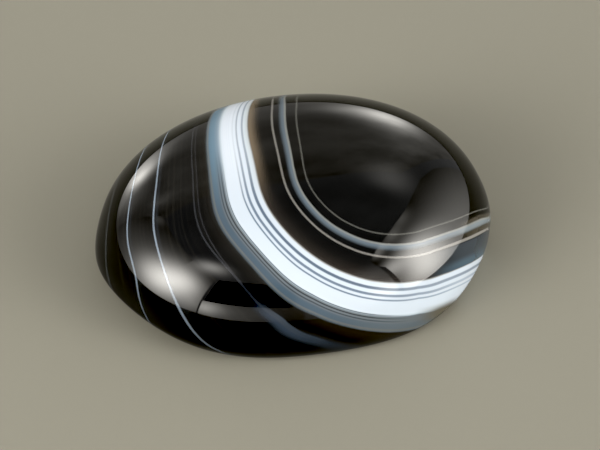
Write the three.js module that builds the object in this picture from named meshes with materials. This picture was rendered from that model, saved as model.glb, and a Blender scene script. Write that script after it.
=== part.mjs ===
// An oval cabochon of banded agate, cut and polished by hand, lying on its flat back.
// Millimetres, +Z up, the stone's long axis along X. The origin is in the plane of the
// back, under the middle of the stone's box.

import * as THREE from 'three';
import { mergeVertices } from 'three/addons/utils/BufferGeometryUtils.js';

// Driving dimensions. The girdle is the stone's widest line, just above the back.
const girdleHalfLength = 15.05;
const girdleHalfWidth = 11.6;
const girdleHeight = 1.6;
const crownHeight = 7.8;
const backShare = 0.86; // the flat back's size, as a share of the girdle's

// The crown is fuller than an ellipsoid: 2 would be an ellipse, and more is squarer.
const crownSideFullness = 2.45;
const crownTopFullness = 2.1;

// The lapidary's hand: the top and the back sit a little off the girdle's centre, and the
// oval isn't quite true.
const topShift = new THREE.Vector2( 0.2, 0.5 );
const backShift = new THREE.Vector2( 0.8, - 0.5 );
const threeSidedness = 0.004;
const squareness = - 0.006;

// The low side of the stone was ground flat in a few strokes round the oval, and the
// strokes fade out above the girdle.
const groundFlats = 6;
const groundDepth = 0.012; // as a share of the radius
const groundFade = 2.5; // height over which they fade

// Fineness of the faceted surface
const segmentsRound = 72;
const edgeSteps = 7;
const crownSteps = 24;

const polishedAgate = new THREE.MeshStandardMaterial( {
	color: 0x1b1a19,
	roughness: 0.05,
	metalness: 0,
} );

// Half of the stone's upright section, from the middle of the back up to the top of the
// crown. x is a share of the girdle's radius and y is a height.
function stoneProfile() {

	const points = [ new THREE.Vector2( 0, 0 ) ];

	// the rounded edge between the flat back and the girdle
	for ( let i = 0; i <= edgeSteps; i ++ ) {

		const turn = ( Math.PI / 2 ) * ( i / edgeSteps );
		const radius = backShare + ( 1 - backShare ) * Math.sin( turn );
		points.push( new THREE.Vector2( radius, girdleHeight * ( 1 - Math.cos( turn ) ) ) );

	}

	// the crown
	for ( let i = 1; i < crownSteps; i ++ ) {

		const turn = ( Math.PI / 2 ) * ( i / crownSteps );
		const radius = Math.cos( turn ) ** ( 2 / crownSideFullness );
		const rise = crownHeight * Math.sin( turn ) ** ( 2 / crownTopFullness );
		points.push( new THREE.Vector2( radius, girdleHeight + rise ) );

	}

	points.push( new THREE.Vector2( 0, girdleHeight + crownHeight ) );

	return points;

}

// How far the outline stands out from a true oval at an angle and a height
function outlineFactor( angle, height ) {

	const oval = 1 + threeSidedness * Math.sin( 3 * angle ) + squareness * Math.cos( 4 * angle );
	const low = 1 - THREE.MathUtils.smoothstep( height, girdleHeight, girdleHeight + groundFade );

	return oval + groundDepth * Math.cos( groundFlats * angle ) * low;

}

// Turns a point of the round turning, one unit in radius, into the hand-cut oval
function shapeByHand( point ) {

	const radius = Math.hypot( point.x, point.y );
	const angle = Math.atan2( point.y, point.x );
	const reach = radius * outlineFactor( angle, point.z );
	const towardsTop = Math.max( 0, ( point.z - girdleHeight ) / crownHeight );
	const towardsBack = Math.max( 0, ( girdleHeight - point.z ) / girdleHeight ) ** 2;

	point.x = girdleHalfLength * reach * Math.cos( angle )
		+ topShift.x * towardsTop + backShift.x * towardsBack;
	point.y = girdleHalfWidth * reach * Math.sin( angle )
		+ topShift.y * towardsTop + backShift.y * towardsBack;

	return point;

}

function agateStone() {

	const turned = new THREE.LatheGeometry( stoneProfile(), segmentsRound );
	turned.deleteAttribute( 'normal' );
	turned.deleteAttribute( 'uv' );
	turned.rotateX( Math.PI / 2 );

	const geometry = mergeVertices( turned );
	const position = geometry.getAttribute( 'position' );
	const point = new THREE.Vector3();

	for ( let i = 0; i < position.count; i ++ ) {

		shapeByHand( point.fromBufferAttribute( position, i ) );
		position.setXYZ( i, point.x, point.y, point.z );

	}

	// the origin under the middle of the stone's box
	geometry.computeBoundingBox();
	const middle = geometry.boundingBox.getCenter( new THREE.Vector3() );
	geometry.translate( - middle.x, - middle.y, 0 );
	geometry.computeVertexNormals();

	const stone = new THREE.Mesh( geometry, polishedAgate );
	stone.name = 'agate_stone';

	return stone;

}

const cabochon = new THREE.Group();
cabochon.add( agateStone() );

export default cabochon;
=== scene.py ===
"""A polished oval cabochon of banded black agate, lying on a pale floor in soft studio light.

Everything is in metres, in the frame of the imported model. The banding is worked out in
millimetres from the same frame.
"""

from math import cos, pi, radians, sin, tan

import bpy
from mathutils import Matrix, Vector


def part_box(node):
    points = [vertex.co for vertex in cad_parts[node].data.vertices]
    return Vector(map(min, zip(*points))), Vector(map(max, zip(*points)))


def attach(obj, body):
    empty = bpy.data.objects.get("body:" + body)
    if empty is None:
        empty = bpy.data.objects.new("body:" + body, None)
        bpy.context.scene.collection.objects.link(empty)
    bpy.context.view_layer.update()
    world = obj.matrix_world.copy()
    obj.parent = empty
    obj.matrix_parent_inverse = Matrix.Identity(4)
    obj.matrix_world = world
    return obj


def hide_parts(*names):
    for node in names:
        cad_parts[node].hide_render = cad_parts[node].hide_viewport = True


MM = 0.001

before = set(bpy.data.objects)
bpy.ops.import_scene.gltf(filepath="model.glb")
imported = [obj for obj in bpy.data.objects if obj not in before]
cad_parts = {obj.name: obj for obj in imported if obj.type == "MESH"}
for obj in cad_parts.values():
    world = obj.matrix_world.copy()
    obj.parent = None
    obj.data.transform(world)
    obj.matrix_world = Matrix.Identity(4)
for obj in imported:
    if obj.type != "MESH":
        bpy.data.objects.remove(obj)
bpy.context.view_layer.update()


# The stone's own dimensions in millimetres, the same as those of the CAD part

GIRDLE_HALF_LENGTH = 15.05
GIRDLE_HALF_WIDTH = 11.6
GIRDLE_HEIGHT = 1.6
CROWN_HEIGHT = 7.8
BACK_SHARE = 0.86
CROWN_SIDE_FULLNESS = 2.45
CROWN_TOP_FULLNESS = 2.1
TOP_SHIFT = (0.2, 0.5)
BACK_SHIFT = (0.8, -0.5)
THREE_SIDEDNESS = 0.004
SQUARENESS = -0.006
GROUND_FLATS = 6
GROUND_DEPTH = 0.012
GROUND_FADE = 2.5
STONE_HEIGHT = GIRDLE_HEIGHT + CROWN_HEIGHT

# Fineness of the smooth stone
SEGMENTS_ROUND = 288
BACK_STEPS = 12
EDGE_STEPS = 26
CROWN_STEPS = 110


# Shader maths written as expressions

class Number:
    """A socket that carries one number. Arithmetic on it adds Math nodes."""

    def __init__(self, graph, socket):
        self.graph = graph
        self.socket = socket

    def math(self, operation, *operands):
        return self.graph.math(operation, self, *operands)

    def __add__(self, other):
        return self.graph.math("ADD", self, other)

    def __radd__(self, other):
        return self.graph.math("ADD", other, self)

    def __sub__(self, other):
        return self.graph.math("SUBTRACT", self, other)

    def __rsub__(self, other):
        return self.graph.math("SUBTRACT", other, self)

    def __mul__(self, other):
        return self.graph.math("MULTIPLY", self, other)

    def __rmul__(self, other):
        return self.graph.math("MULTIPLY", other, self)

    def __truediv__(self, other):
        return self.graph.math("DIVIDE", self, other)

    def __rtruediv__(self, other):
        return self.graph.math("DIVIDE", other, self)

    def __pow__(self, other):
        return self.graph.math("POWER", self, other)

    def __neg__(self):
        return self.graph.math("MULTIPLY", self, -1)


# The colour sockets of a Mix node, which go by number because their names repeat
MIX_FIRST = 6
MIX_SECOND = 7
MIX_RESULT = 2

# The fineness of the noise that changes with one number only
STREAK_DETAIL = 2.0
STREAK_ROUGHNESS = 0.6


class Graph:
    """The nodes of one material."""

    def __init__(self, material):
        material.use_nodes = True
        self.tree = material.node_tree
        self.tree.nodes.clear()

    def node(self, kind, settings=None, sockets=None):
        """Adds a node: its settings first, then the values or links of its sockets."""
        made = self.tree.nodes.new(kind)
        for name, value in (settings or {}).items():
            if name == "stops":
                self.set_stops(made.color_ramp, value)
            else:
                setattr(made, name, value)
        for name, value in (sockets or {}).items():
            self.feed(made.inputs[name], value)
        return made

    def set_stops(self, ramp, stops):
        while len(ramp.elements) < len(stops):
            ramp.elements.new(1)
        for element, (place, colour) in zip(ramp.elements, stops):
            element.position = place
            element.color = colour

    def feed(self, socket, value):
        if isinstance(value, Number):
            value = value.socket
        if isinstance(value, bpy.types.NodeSocket):
            self.tree.links.new(value, socket)
        else:
            socket.default_value = value

    def math(self, operation, *operands):
        made = self.node("ShaderNodeMath", {"operation": operation}, dict(enumerate(operands)))
        return Number(self, made.outputs[0])

    def step(self, value, start, end):
        """0 before start and 1 after end, smoothly; start may be the larger of the two."""
        made = self.node(
            "ShaderNodeMapRange",
            {"interpolation_type": "SMOOTHSTEP"},
            {"Value": value, "From Min": start, "From Max": end},
        )
        return Number(self, made.outputs["Result"])

    def line(self, value, level, half_width, softness):
        """1 on a level and 0 beyond its half width and softness."""
        away = (value - level).math("ABSOLUTE")
        return self.step(away, half_width + softness, half_width)

    def mix(self, factor, first, second):
        made = self.node(
            "ShaderNodeMix",
            {"data_type": "RGBA"},
            {"Factor": factor, MIX_FIRST: first, MIX_SECOND: second},
        )
        return made.outputs[MIX_RESULT]

    def noise(self, vector, scale, detail):
        sockets = {"Vector": vector, "Scale": scale, "Detail": detail}
        made = self.node("ShaderNodeTexNoise", {}, sockets)
        return Number(self, made.outputs["Fac"])

    def streaks(self, value, scale):
        """Noise that changes with one number only."""
        made = self.node(
            "ShaderNodeTexNoise",
            {"noise_dimensions": "1D"},
            {"W": value, "Scale": scale, "Detail": STREAK_DETAIL, "Roughness": STREAK_ROUGHNESS},
        )
        return Number(self, made.outputs["Fac"])

    def scaled(self, vector, scale):
        sockets = {0: vector, "Scale": scale}
        made = self.node("ShaderNodeVectorMath", {"operation": "SCALE"}, sockets)
        return made.outputs["Vector"]

    def distance(self, first, second):
        made = self.node("ShaderNodeVectorMath", {"operation": "DISTANCE"}, {0: first, 1: second})
        return Number(self, made.outputs["Value"])

    def parts(self, vector):
        made = self.node("ShaderNodeSeparateXYZ", {}, {"Vector": vector})
        return [Number(self, out) for out in made.outputs]

    def finish(self, shader):
        self.node("ShaderNodeOutputMaterial", {}, {"Surface": shader.outputs[0]})


def linear(channel):
    """The share of full light in one channel of a screen colour, 0 to 255."""
    share = channel / 255
    if share <= 0.04045:
        return share / 12.92
    return ((share + 0.055) / 1.055) ** 2.4


def colour(red, green, blue):
    """A colour as a screen shows it, 0 to 255, for a socket."""
    return (linear(red), linear(green), linear(blue), 1)


# Share of the full red, green and blue light that the whitest agate gives back
AGATE_LIGHTNESS = (0.77, 0.78, 0.82)


def agate(red, green, blue):
    """A colour of the stone, 0 to 255, as it looks on a screen in full light."""
    channels = zip((red, green, blue), AGATE_LIGHTNESS)
    return (*[linear(channel) * share for channel, share in channels], 1)


# The stone's shape

def smooth_share(value, start, end):
    share = min(1, max(0, (value - start) / (end - start)))
    return share * share * (3 - 2 * share)


def stone_profile():
    """Half of the upright section: (share of the girdle's radius, height) from the middle
    of the back up to the top of the crown."""
    points = [(BACK_SHARE * i / BACK_STEPS, 0) for i in range(BACK_STEPS)]
    for i in range(EDGE_STEPS + 1):
        turn = pi / 2 * i / EDGE_STEPS
        radius = BACK_SHARE + (1 - BACK_SHARE) * sin(turn)
        points.append((radius, GIRDLE_HEIGHT * (1 - cos(turn))))
    for i in range(1, CROWN_STEPS):
        turn = pi / 2 * i / CROWN_STEPS
        radius = cos(turn) ** (2 / CROWN_SIDE_FULLNESS)
        rise = CROWN_HEIGHT * sin(turn) ** (2 / CROWN_TOP_FULLNESS)
        points.append((radius, GIRDLE_HEIGHT + rise))
    points.append((0, STONE_HEIGHT))
    return points


def hand_cut_point(radius, angle, height):
    """A point of the turned shape moved to where the hand-cut oval has it, in millimetres."""
    oval = 1 + THREE_SIDEDNESS * sin(3 * angle) + SQUARENESS * cos(4 * angle)
    low = 1 - smooth_share(height, GIRDLE_HEIGHT, GIRDLE_HEIGHT + GROUND_FADE)
    reach = radius * (oval + GROUND_DEPTH * cos(GROUND_FLATS * angle) * low)
    towards_top = max(0, (height - GIRDLE_HEIGHT) / CROWN_HEIGHT)
    towards_back = max(0, (GIRDLE_HEIGHT - height) / GIRDLE_HEIGHT) ** 2
    x = GIRDLE_HALF_LENGTH * reach * cos(angle)
    y = GIRDLE_HALF_WIDTH * reach * sin(angle)
    x += TOP_SHIFT[0] * towards_top + BACK_SHIFT[0] * towards_back
    y += TOP_SHIFT[1] * towards_top + BACK_SHIFT[1] * towards_back
    return Vector((x, y, height))


def stone_mesh(node):
    """The smooth stone, set exactly into the box of the CAD node."""
    points = []
    rings = []
    for radius, height in stone_profile():
        if radius == 0:
            rings.append([len(points)])
            points.append(hand_cut_point(0, 0, height))
            continue
        rings.append([len(points) + i for i in range(SEGMENTS_ROUND)])
        for i in range(SEGMENTS_ROUND):
            points.append(hand_cut_point(radius, 2 * pi * i / SEGMENTS_ROUND, height))

    faces = []
    for lower, upper in zip(rings, rings[1:]):
        for i in range(SEGMENTS_ROUND):
            j = (i + 1) % SEGMENTS_ROUND
            if len(lower) == 1:
                faces.append((lower[0], upper[j], upper[i]))
            elif len(upper) == 1:
                faces.append((lower[i], lower[j], upper[0]))
            else:
                faces.append((lower[i], lower[j], upper[j], upper[i]))

    low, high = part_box(node)
    least = Vector([min(point[axis] for point in points) for axis in range(3)])
    most = Vector([max(point[axis] for point in points) for axis in range(3)])
    for point in points:
        for axis in range(3):
            share = (point[axis] - least[axis]) / (most[axis] - least[axis])
            point[axis] = low[axis] + share * (high[axis] - low[axis])

    mesh = bpy.data.meshes.new("agate_cabochon")
    mesh.from_pydata(points, [], faces)
    mesh.update()
    mesh.shade_smooth()
    return mesh


# How the layers of the agate lie, in millimetres. They are nested bowls round one axis,
# which leans in the plane of the back, and each layer is a level of one smooth number.
# Most of these numbers began as a least-squares fit to the bands of the photograph.

LAYER_MIDDLE = (7.6, -3.4)
LAYER_TURN = radians(18)

# How fast the levels rise across the axis: on the far side a start and its growth towards
# the left, which sets in softly, and on the near side the same everywhere
LAYER_SPREAD = (0.216, 0.04, 0.003)
LAYER_FAR_ROUNDING = 1.4
LAYER_NEAR_SPREAD = 1.04

# The power that rounds a bowl's corner, at one level and its growth from there
LAYER_SQUARENESS = 2.1
LAYER_SQUARENESS_LEVEL = 10
LAYER_SQUARENESS_GROWTH = 0.035

# How fast the levels rise with the depth under the top of the crown
LAYER_DIP = 1.1
LAYER_DIP_RIGHT = -0.2
LAYER_DIP_NEAR = -0.15
LAYER_DIP_LEFT = -0.2
LAYER_DIP_RUN = 8

# How the bowls close at the right end of the axis
LAYER_TIP_START = 3
LAYER_TIP_ROUNDING = 0.2

# Where the layers swell and pinch: place, reach and rise. All the rows but the last are
# rounded results of that fit, and the first two were then changed a little.
LAYER_SWELLS = (
    ((0.9, 9.6, 7.5), 2.2, 0.85),
    ((-2.2, 0.5, 9.2), 2.6, -0.2),
    ((2.8, -2.4, 9.0), 3.4, 1.04),
    ((-6.5, -7.6, 6.5), 4.0, -1.04),
    ((-7.6, 0.0, 8.3), 4.0, -0.685),
    ((-13.0, -5.0, 5.0), 2.4, -1.0),
    ((-8.6, -10.0, 2.3), 3.5, 1.06),
    ((7.8, -5.6, 7.5), 3.0, -0.40),
    ((15.5, 0.5, 3.5), 3.0, 1.2),
)

# The ground colour from the black middle outward: level of the layer and colour
GROUND = (
    (0.0, (7, 7, 6)),
    (8.5, (7, 7, 6)),
    (9.3, (15, 14, 12)),
    (10.0, (33, 30, 26)),
    (10.5, (48, 43, 38)),
    (10.62, (150, 150, 146)),
    (10.76, (206, 214, 216)),
    (11.1, (218, 228, 233)),
    (11.4, (224, 233, 241)),
    (12.5, (231, 239, 246)),
    (13.45, (228, 236, 243)),
    (13.7, (218, 228, 235)),
    (13.9, (182, 196, 204)),
    (14.12, (138, 156, 168)),
    (14.6, (112, 138, 154)),
    (15.1, (102, 129, 146)),
    (15.4, (100, 118, 130)),
    (15.5, (84, 94, 100)),
    (15.63, (42, 43, 41)),
    (15.9, (26, 24, 20)),
    (16.6, (16, 15, 12)),
    (17.6, (8, 8, 8)),
    (34.0, (6, 6, 6)),
)
GROUND_END = 34.0


def layer_level(graph, place):
    """The number of the layer at a place."""
    x, y, z = graph.parts(place)
    right = x - LAYER_MIDDLE[0]
    up = y - LAYER_MIDDLE[1]
    along = right * cos(LAYER_TURN) + up * sin(LAYER_TURN)
    across = up * cos(LAYER_TURN) - right * sin(LAYER_TURN)
    reach = ((along * along + LAYER_FAR_ROUNDING ** 2).math("SQRT") - along) / 2
    spread = LAYER_SPREAD[0] + LAYER_SPREAD[1] * reach + LAYER_SPREAD[2] * reach * reach
    back_along = (-along).math("MAXIMUM", 0)
    far_side = across.math("MAXIMUM", 0) * spread
    near_side = (-across).math("MAXIMUM", 0) * LAYER_NEAR_SPREAD
    tip = (along - LAYER_TIP_START).math("MAXIMUM", 0) * LAYER_TIP_ROUNDING
    flank = far_side + near_side
    sideways = (flank * flank + tip * tip).math("SQRT")
    plain_level = (back_along * back_along + sideways * sideways).math("SQRT")
    growth = LAYER_SQUARENESS_GROWTH * (plain_level - LAYER_SQUARENESS_LEVEL)
    power = LAYER_SQUARENESS + growth
    total = back_along ** power + sideways ** power
    level = total ** (1 / power)
    dip = (
        LAYER_DIP
        + LAYER_DIP_RIGHT / LAYER_DIP_RUN * right.math("MAXIMUM", 0)
        + LAYER_DIP_NEAR / LAYER_DIP_RUN * (-up).math("MAXIMUM", 0)
        + LAYER_DIP_LEFT / LAYER_DIP_RUN * (-right - LAYER_DIP_RUN).math("MAXIMUM", 0)
    )
    level = level + (STONE_HEIGHT - z) * dip
    for middle, extent, rise in LAYER_SWELLS:
        share = graph.distance(place, middle) / extent
        level = level - rise * (-(share * share)).math("EXPONENT")
    return level


# Bands by the levels of their layers: where each starts, is full, fades and ends
RIGHT_BROWN = (6.3, 6.6, 8.1, 8.2)
GREY_LAYER = (6.82, 6.94, 7.1, 7.65)
GREY_LAYER_CORE = (6.86, 7.0, 7.3, 7.6)
SLATE = (8.2, 8.5, 10.5, 10.65)
BROWN_GLOW = (9.1, 10.5, 10.5, 10.7)
WHITE_BAND = (10.6, 10.75, 13.5, 14.0)
BLUE_BAND = (13.9, 14.1, 15.5, 15.65)
BROWN_CORNER = (13.2, 14.0, 14.6, 15.4)
GINGER_EDGE = (15.55, 15.7, 15.9, 17.0)

# Levels from which a colour comes in to those at which it is full
BLACK_MIDDLE = (8.2, 3.0)
OUTER_BLACK = (15.9, 16.3)
SLATE_BLUE = (9.5, 10.3)
BLUE_BAND_INSIDE = (14.9, 14.5)

# Places in millimetres, from where a colour comes in to where it is full
FAR_SIDE = (-4.5, 3.5)
RIGHT_END = (8, 12)
HIGH_UP = (0.5, 6.5)

# Noise of the streaks from where they show to where they are full
OUTER_STREAKS = (0.45, 0.7)
MIDDLE_STREAKS = (0.5, 0.7)
WHITE_STREAKS = (0.5, 0.75)
STREAK_SCALE = 2.6
FINE_STREAK_SCALE = 7.0

# Fine lines in the blue band: level, half width, softness, colour and strength
FINE_BLUE_LINES = (
    (13.88, 0.015, 0.07, (64, 72, 78), 0.85),
    (14.03, 0.04, 0.06, (130, 139, 144), 0.6),
    (14.2, 0.015, 0.07, (46, 52, 56), 0.85),
    (14.35, 0.04, 0.06, (116, 125, 131), 0.5),
    (14.5, 0.015, 0.07, (52, 60, 66), 0.75),
    (14.64, 0.03, 0.06, (112, 122, 130), 0.3),
)

# Bright threads in the black at the left: level and colour, then the level, colour and
# strength of the faint shade inside each
THREADS = (
    (22.2, (140, 153, 166), 21.8, (44, 48, 54), 0.35),
    (26.12, (134, 147, 160), 25.66, (38, 42, 46), 0.4),
)
THREAD_HALF_WIDTH = 0.03
THREAD_SHADE_HALF_WIDTH = 0.05
THREAD_SHADE_SOFTNESS = 0.2

# The slow wander of the layers off their smooth course
WANDER_SCALE = 0.35
WANDER_DETAIL = 3.0
WANDER_RISE = 0.1

# The polish, and the satin finish of the ground back below its height in millimetres
AGATE_IOR = 1.54
POLISHED_ROUGHNESS = 0.03
BACK_ROUGHNESS = 0.4
BACK_FINISH = (0.06, 0.01)
WAVE_SCALE = 0.25
WAVE_DETAIL = 0.0
WAVE_STRENGTH = 0.01
WAVE_DISTANCE = 0.001


class Bands:
    """Paints the layers of the agate one over another."""

    def __init__(self, graph, place, level):
        self.graph = graph
        self.level = level
        self.x, self.y, self.z = graph.parts(place)
        self.far = graph.step(self.y, *FAR_SIDE)
        self.near = 1 - self.far
        self.right = graph.step(self.x, *RIGHT_END)
        self.high = graph.step(self.z, *HIGH_UP)
        stops = [(at / GROUND_END, agate(*tint)) for at, tint in GROUND]
        ramp = graph.node("ShaderNodeValToRGB", {"stops": stops}, {"Fac": level / GROUND_END})
        self.shade = ramp.outputs["Color"]

    def paint(self, mask, tint):
        self.shade = self.graph.mix(mask, self.shade, agate(*tint))

    def line(self, at, half_width, softness, tint, strength):
        self.paint(self.graph.line(self.level, at, half_width, softness) * strength, tint)

    def beyond(self, start, full):
        """0 before one level and 1 after another."""
        return self.graph.step(self.level, start, full)

    def between(self, start, full, fade, end):
        """1 over a band of layers and 0 outside it."""
        return self.beyond(start, full) * self.beyond(end, fade)

    def across(self, start, full):
        """0 before one x and 1 after another."""
        return self.graph.step(self.x, start, full)

    def towards(self, start, full):
        """0 before one y and 1 after another."""
        return self.graph.step(self.y, start, full)

    def upward(self, start, full):
        """0 before one height and 1 after another."""
        return self.graph.step(self.z, start, full)


def paint_white_and_streaks(bands):
    """The white, painted a little darker towards the camera as painted shade, and the finest
    layering, which shows as faint streaks in the black and in the white."""
    white = bands.between(*WHITE_BAND)
    # Painted shade: the white is darker on the side towards the camera.
    bands.paint(white * bands.near, (208, 218, 226))
    step = bands.graph.step
    streaks = bands.graph.streaks(bands.level, STREAK_SCALE)
    fine_streaks = bands.graph.streaks(bands.level, FINE_STREAK_SCALE)
    outer = bands.beyond(*OUTER_BLACK) * step(streaks, *OUTER_STREAKS)
    bands.paint(outer * 0.6, (24, 23, 20))
    middle = bands.beyond(*BLACK_MIDDLE) * step(streaks, *MIDDLE_STREAKS)
    bands.paint(middle * 0.4, (16, 15, 13))
    bands.paint(white * step(fine_streaks, *WHITE_STREAKS) * 0.3, (208, 220, 232))


def paint_glow_and_slate(bands):
    """The brown glow inside the white band, and the slate in its place at the right."""
    glow = bands.between(*BROWN_GLOW)
    bands.paint(glow * glow * bands.far * 0.95, (120, 106, 86))
    slate = bands.between(*SLATE) * bands.right
    bands.paint(slate * 0.9, (66, 72, 77))
    bands.paint(slate * bands.beyond(*SLATE_BLUE) * 0.8, (80, 99, 111))


def paint_black_middle(bands):
    """The thin layers of the black middle, with brown between them at the right."""
    right = bands.right
    brown = bands.between(*RIGHT_BROWN) * bands.across(11, 13)
    bands.paint(brown * 0.75, (80, 75, 64))
    bands.line(5.93, 0.015, 0.11, (94, 94, 88), 0.75)
    bands.paint(bands.between(*GREY_LAYER) * 0.9, (104, 117, 126))
    core = bands.between(*GREY_LAYER_CORE) * bands.across(10, 12.5)
    bands.paint(core * 0.7, (134, 143, 145))
    bands.line(6.93, 0.03, 0.13, (142, 142, 134), 0.7)
    bands.line(8.15, 0.03 + 0.04 * right, 0.13, (142, 139, 132), 0.72 + 0.2 * right)


def paint_dark_lines(bands):
    """The dark lines in the white band, stronger and wider towards the camera."""
    near = bands.near
    strength = (0.55 + 0.45 * near) * (1 - 0.3 * bands.across(3, 9))
    outer_strength = strength * (1 - 0.4 * bands.right)
    bands.line(11.26, 0.045 + 0.03 * near, 0.14, (62, 82, 104), 0.9 * strength)
    bands.line(11.9, 0.03 + 0.03 * near, 0.13, (72, 93, 116), 0.85 * outer_strength)
    bands.line(12.36, 0.025, 0.11, (76, 98, 120), (0.25 + 0.6 * near) * outer_strength)


def paint_blue_band(bands):
    """The blue band, greyer and darker towards the camera, where fine lines cross it. The
    darker tone there is partly the band's own colour and partly painted shade.
    """
    blue = bands.between(*BLUE_BAND) * bands.near
    # Partly own colour, partly painted shade: the blue band is darker on the side towards the
    # camera.
    bands.paint(blue * 0.85, (72, 84, 94))
    bands.paint(blue * bands.beyond(*BLUE_BAND_INSIDE) * 0.8, (98, 102, 103))
    bands.paint(blue * bands.across(-1, 6) * 0.6, (108, 115, 118))
    fine = bands.near * bands.across(7.5, 3)
    for at, half_width, softness, tint, strength in FINE_BLUE_LINES:
        bands.line(at, half_width, softness, tint, strength * fine)
    bands.line(15.38, 0.05, 0.1, (108, 110, 106), 0.7)
    corner = bands.across(7, 9.5) * bands.towards(-6.5, -8.5) * bands.between(*BROWN_CORNER)
    bands.paint(corner * 0.9, (98, 92, 76))
    ginger = bands.between(*GINGER_EDGE) * bands.near * bands.across(-3, 3)
    bands.paint(ginger * 0.8, (33, 28, 19))


def paint_faint_layers(bands):
    """The faint layers beyond the blue band, with a grey-blue veil at the low front."""
    drift = 0.35 * bands.towards(-4, -8)
    front = bands.towards(-7.9, -8.9)
    kept = 1 - 0.6 * front
    bands.line(17.02 + drift, 0.025, 0.1, (54, 54, 56), 0.5 * kept)
    bands.line(17.48, 0.025, 0.11, (62, 63, 66), 0.55 * kept)
    shaded = front * bands.towards(-10.6, -9.8)
    bands.line(17.46, 0.04, 0.12, (50, 54, 60), 0.6 * shaded)
    veil_front = bands.towards(-9.1, -10.6)
    veil_drift = 0.5 * bands.towards(-10.4, -11.4)
    veil_start = 17.65 - 0.65 * veil_front + veil_drift
    inner = bands.graph.step(bands.level - veil_start, 0, 0.15)
    outer = bands.graph.step(bands.level - veil_drift, 18.3, 17.6)
    veil_strength = 0.2 + 0.55 * bands.upward(0.8, 3.5)
    bands.paint(inner * outer * veil_front * veil_strength, (56, 67, 80))
    lit = veil_front * bands.upward(1.0, 5)
    bands.line(17.3 + veil_drift, 0.1, 0.2, (64, 70, 76), 0.6 * lit)


def paint_threads(bands):
    """The bright threads in the black at the left, fainter low down, and the last layer."""
    strength = 0.2 + 0.65 * bands.high
    softness = 0.1 + 0.05 * bands.high
    for at, tint, shade_at, shade_tint, shade_strength in THREADS:
        bands.line(at, THREAD_HALF_WIDTH, softness, tint, strength)
        bands.line(
            shade_at, THREAD_SHADE_HALF_WIDTH, THREAD_SHADE_SOFTNESS, shade_tint,
            shade_strength * bands.high,
        )
    bands.line(30.55, 0.05, 0.2, (66, 70, 72), 0.5)


def banded_agate():
    material = bpy.data.materials.new("banded_agate")
    graph = Graph(material)
    metres = graph.node("ShaderNodeTexCoord").outputs["Object"]
    place = graph.scaled(metres, 1 / MM)
    wander = graph.noise(place, WANDER_SCALE, WANDER_DETAIL) - 0.5
    level = layer_level(graph, place) + WANDER_RISE * wander

    bands = Bands(graph, place, level)
    paint_white_and_streaks(bands)
    paint_glow_and_slate(bands)
    paint_black_middle(bands)
    paint_dark_lines(bands)
    paint_blue_band(bands)
    paint_faint_layers(bands)
    paint_threads(bands)

    wave = graph.noise(place, WAVE_SCALE, WAVE_DETAIL)
    bump = graph.node(
        "ShaderNodeBump",
        {},
        {"Height": wave, "Strength": WAVE_STRENGTH, "Distance": WAVE_DISTANCE},
    )
    roughness = POLISHED_ROUGHNESS + BACK_ROUGHNESS * bands.upward(*BACK_FINISH)
    shader = graph.node(
        "ShaderNodeBsdfPrincipled",
        {},
        {"Base Color": bands.shade, "Roughness": roughness, "IOR": AGATE_IOR,
         "Normal": bump.outputs["Normal"]},
    )
    graph.finish(shader)
    return material


# The stone

stone = bpy.data.objects.new("agate_cabochon", stone_mesh("agate_stone"))
bpy.context.scene.collection.objects.link(stone)
stone.data.materials.append(banded_agate())
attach(stone, "root")
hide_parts("agate_stone")


# The camera: in front of the stone, well above it and turned a little

CAMERA_ELEVATION = radians(48)
CAMERA_TURN = radians(10.2)
CAMERA_DISTANCE = 0.228
CAMERA_ASIDE = 0.461 * MM
CAMERA_RAISED = 1.631 * MM
CAMERA_LENS = 179.2
CAMERA_SENSOR_WIDTH = 36
CAMERA_CLIP_START = 0.01

to_right = Vector((cos(CAMERA_TURN), -sin(CAMERA_TURN), 0))
away = Vector((sin(CAMERA_TURN), cos(CAMERA_TURN), 0))
upward = Vector((0, 0, 1))
to_camera = -away * cos(CAMERA_ELEVATION) + upward * sin(CAMERA_ELEVATION)
camera_up = to_camera.cross(to_right)

camera_data = bpy.data.cameras.new("camera")
camera_data.lens = CAMERA_LENS
camera_data.sensor_width = CAMERA_SENSOR_WIDTH
camera_data.clip_start = CAMERA_CLIP_START
camera = bpy.data.objects.new("camera", camera_data)
bpy.context.scene.collection.objects.link(camera)
turned = Matrix((to_right, camera_up, to_camera)).transposed().to_4x4()
place = to_camera * CAMERA_DISTANCE + to_right * CAMERA_ASIDE + camera_up * CAMERA_RAISED
camera.matrix_world = Matrix.Translation(place) @ turned
bpy.context.scene.camera = camera


# The floor

FLOOR_HALF_SIZE = 3.0
FLOOR_TINT = colour(131, 129, 119)
FLOOR_TINT_REFLECTED = colour(125, 124, 118)
FLOOR_ROUGHNESS = 0.9
FLOOR_SPECULAR = 0.1


def sheet(name, corners, material):
    """A flat stage piece."""
    mesh = bpy.data.meshes.new(name)
    mesh.from_pydata(corners, [], [range(len(corners))])
    mesh.materials.append(material)
    piece = bpy.data.objects.new(name, mesh)
    bpy.context.scene.collection.objects.link(piece)
    return piece


def floor_material():
    """The floor, a little darker where the stone's polish reflects it."""
    material = bpy.data.materials.new("pale_floor")
    graph = Graph(material)
    plain = graph.node(
        "ShaderNodeBsdfPrincipled",
        {},
        {"Base Color": FLOOR_TINT, "Roughness": FLOOR_ROUGHNESS,
         "Specular IOR Level": FLOOR_SPECULAR},
    )
    reflected = graph.node("ShaderNodeBsdfDiffuse", {}, {"Color": FLOOR_TINT_REFLECTED})
    glossy = graph.node("ShaderNodeLightPath").outputs["Is Glossy Ray"]
    shader = graph.node(
        "ShaderNodeMixShader", {}, {0: glossy, 1: plain.outputs[0], 2: reflected.outputs[0]},
    )
    graph.finish(shader)
    return material


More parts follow.
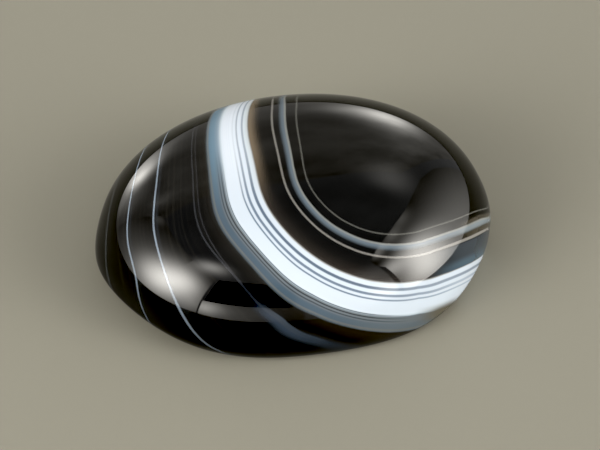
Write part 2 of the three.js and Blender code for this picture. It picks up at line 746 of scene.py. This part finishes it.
half = FLOOR_HALF_SIZE
floor_corners = [(-half, -half, 0), (half, -half, 0), (half, half, 0), (-half, half, 0)]
sheet("floor", floor_corners, floor_material())


# The lights: soft panels that stand round the stone, each named by its direction from the
# stone, where 0 is away from the camera and the right is positive

PANEL_DISTANCE = 0.45
PANEL_TINT = colour(255, 252, 245)

# The clouds in a panel that is mottled
PANEL_CLOUD_SCALE = 7.0
PANEL_CLOUD_DETAIL = 3.0
PANEL_CLOUD_EDGES = (0.3, 0.7)


def on_panel(facing, direction, height):
    """Where a direction, in degrees, meets a panel: across and up from its foot."""
    turn = radians(direction) - facing
    return (
        PANEL_DISTANCE * tan(turn),
        PANEL_DISTANCE / cos(turn) * tan(radians(height)),
        0,
    )


def panel_light(name, facing, dim, spots, mottle):
    """A panel's light: dim all over, and stronger round a few places. Each spot is a
    direction, a height and a reach in degrees, and a strength. A panel whose dim light is
    0 is clear between its spots."""
    material = bpy.data.materials.new(name)
    graph = Graph(material)
    local = graph.node("ShaderNodeTexCoord").outputs["Object"]
    strength = dim
    for direction, height, reach, extra in spots:
        away_from_spot = graph.distance(local, on_panel(facing, direction, height))
        share = away_from_spot / (PANEL_DISTANCE * tan(radians(reach)))
        strength = strength + extra * (-(share * share)).math("EXPONENT")
    if mottle:
        noise = graph.noise(local, PANEL_CLOUD_SCALE, PANEL_CLOUD_DETAIL)
        cloud = graph.step(noise, *PANEL_CLOUD_EDGES)
        strength = strength * (1 - mottle + 2 * mottle * cloud)
    light = graph.node("ShaderNodeEmission", {}, {"Color": PANEL_TINT, "Strength": strength})
    if dim == 0:
        clear = graph.node("ShaderNodeBsdfTransparent")
        light = graph.node(
            "ShaderNodeAddShader", {}, {0: clear.outputs[0], 1: light.outputs[0]},
        )
    graph.finish(light)
    return material


def panel(name, left, right, low, high, dim, spots, share=1.0, mottle=0, upper_edge=()):
    """An upright panel between two directions and two heights, all in degrees. A share
    below 1 brings it nearer to the stone without changing its directions. An upper edge
    that isn't straight is given from right to left, as directions and heights."""
    facing = radians((left + right) / 2)
    outward = to_right * sin(facing) + away * cos(facing)
    sideways = outward.cross(upward)
    half_width = PANEL_DISTANCE * tan(radians(right - left) / 2)
    bottom = PANEL_DISTANCE * tan(radians(low))
    top = PANEL_DISTANCE * tan(radians(high))
    corners = [(-half_width, bottom, 0), (half_width, bottom, 0)]
    if upper_edge:
        corners += [on_panel(facing, direction, height) for direction, height in upper_edge]
    else:
        corners += [(half_width, top, 0), (-half_width, top, 0)]
    piece = sheet(name, corners, panel_light(name, facing, dim, spots, mottle))
    turned = Matrix((sideways, upward, -outward)).transposed().to_4x4()
    placed = Matrix.Translation(outward * PANEL_DISTANCE) @ turned
    piece.matrix_world = Matrix.Scale(share, 4) @ placed
    piece.visible_camera = False


panel(
    "left_panel", left=-144.3, right=-66, low=0.5, high=50, dim=0.25,
    spots=[
        (-114, 18, 15, 9.5), (-126, 28, 17, 12), (-118, 20, 38, 1.5), (-140, 10, 12, 1.8),
        (-69, 41, 7, 0.6),
    ],
)
panel(
    "left_high_glow", left=-175, right=-105, low=36, high=65, dim=0,
    spots=[(-133, 51, 12, 4.6)], share=0.95,
)
panel(
    "right_panel", left=43, right=127.5, low=0.5, high=56, dim=0.3,
    spots=[
        (111, 12, 17, 9), (108, 30, 17, 9), (126, 31, 12, 5), (92, 14, 34, 2.4),
        (120, 50, 10, 2.4), (100, 53, 10, 1.5), (80, 53, 10, 1.0),
    ],
    upper_edge=[
        (127.5, 35), (130.5, 40), (129.5, 46), (119, 52), (104, 55), (87, 55), (70, 51),
        (57, 46), (47, 38), (43, 26),
    ],
)
panel(
    "right_low_glow", left=130, right=160, low=0.5, high=46, dim=0,
    spots=[(137, 30, 15, 0.8), (134, 12, 8, 4)], share=0.95,
)
panel(
    "back_wall", left=-68, right=38, low=0.5, high=58, dim=0.56,
    spots=[
        (-38, 3, 10, 2.6), (-41, 11, 7.5, 6.5), (-52, 10, 12, 1.0), (-54, 38, 9, 0.45),
        (15, 9, 9, 5), (21, 15, 11, 1.0), (27, 28, 16, 0.4), (-45, 45, 25, 0.1),
        (-3, 43, 10, 0.16),
    ],
    share=1.1, mottle=0.14,
)
panel(
    "far_glow", left=8, right=66, low=34, high=66, dim=0,
    spots=[(37, 49, 14, 0.9)], share=0.95,
)
panel(
    "front_strip", left=-191, right=-145.3, low=0.5, high=18.5, dim=0.3,
    spots=[(-147, 10, 9, 5.5), (-160, 9, 20, 1.0)],
)
panel(
    "camera_shade", left=-188, right=-146.5, low=19, high=44, dim=0.001,
    spots=[], share=0.9,
)


# The room: dim and a little cloudy as light, pale where the camera sees it

PALE_ROOM = colour(190, 188, 178)
ROOM_DARK = 0.54
ROOM_VARIATION = 0.3
ROOM_CLOUD_SCALE = 3.0
ROOM_CLOUD_DETAIL = 3.0

world = bpy.data.worlds.new("room")
bpy.context.scene.world = world
room = Graph(world)
sky = room.node("ShaderNodeTexCoord").outputs["Generated"]
room_cloud = room.noise(sky, ROOM_CLOUD_SCALE, ROOM_CLOUD_DETAIL)
room_strength = ROOM_DARK + ROOM_VARIATION * room_cloud
room_light = room.node("ShaderNodeBackground", {}, {"Strength": room_strength})
room_seen = room.node("ShaderNodeBackground", {}, {"Color": PALE_ROOM, "Strength": 1})
seen = room.node("ShaderNodeLightPath").outputs["Is Camera Ray"]
both = room.node(
    "ShaderNodeMixShader", {}, {0: seen, 1: room_light.outputs[0], 2: room_seen.outputs[0]},
)
room.node("ShaderNodeOutputWorld", {}, {"Surface": both.outputs[0]})


# How the picture is shown

BLACK_LEVEL = 0.024

view = bpy.context.scene.view_settings
view.view_transform = "Standard"
view.use_curve_mapping = True
view.curve_mapping.black_level = (BLACK_LEVEL, BLACK_LEVEL, BLACK_LEVEL)
view.curve_mapping.update()
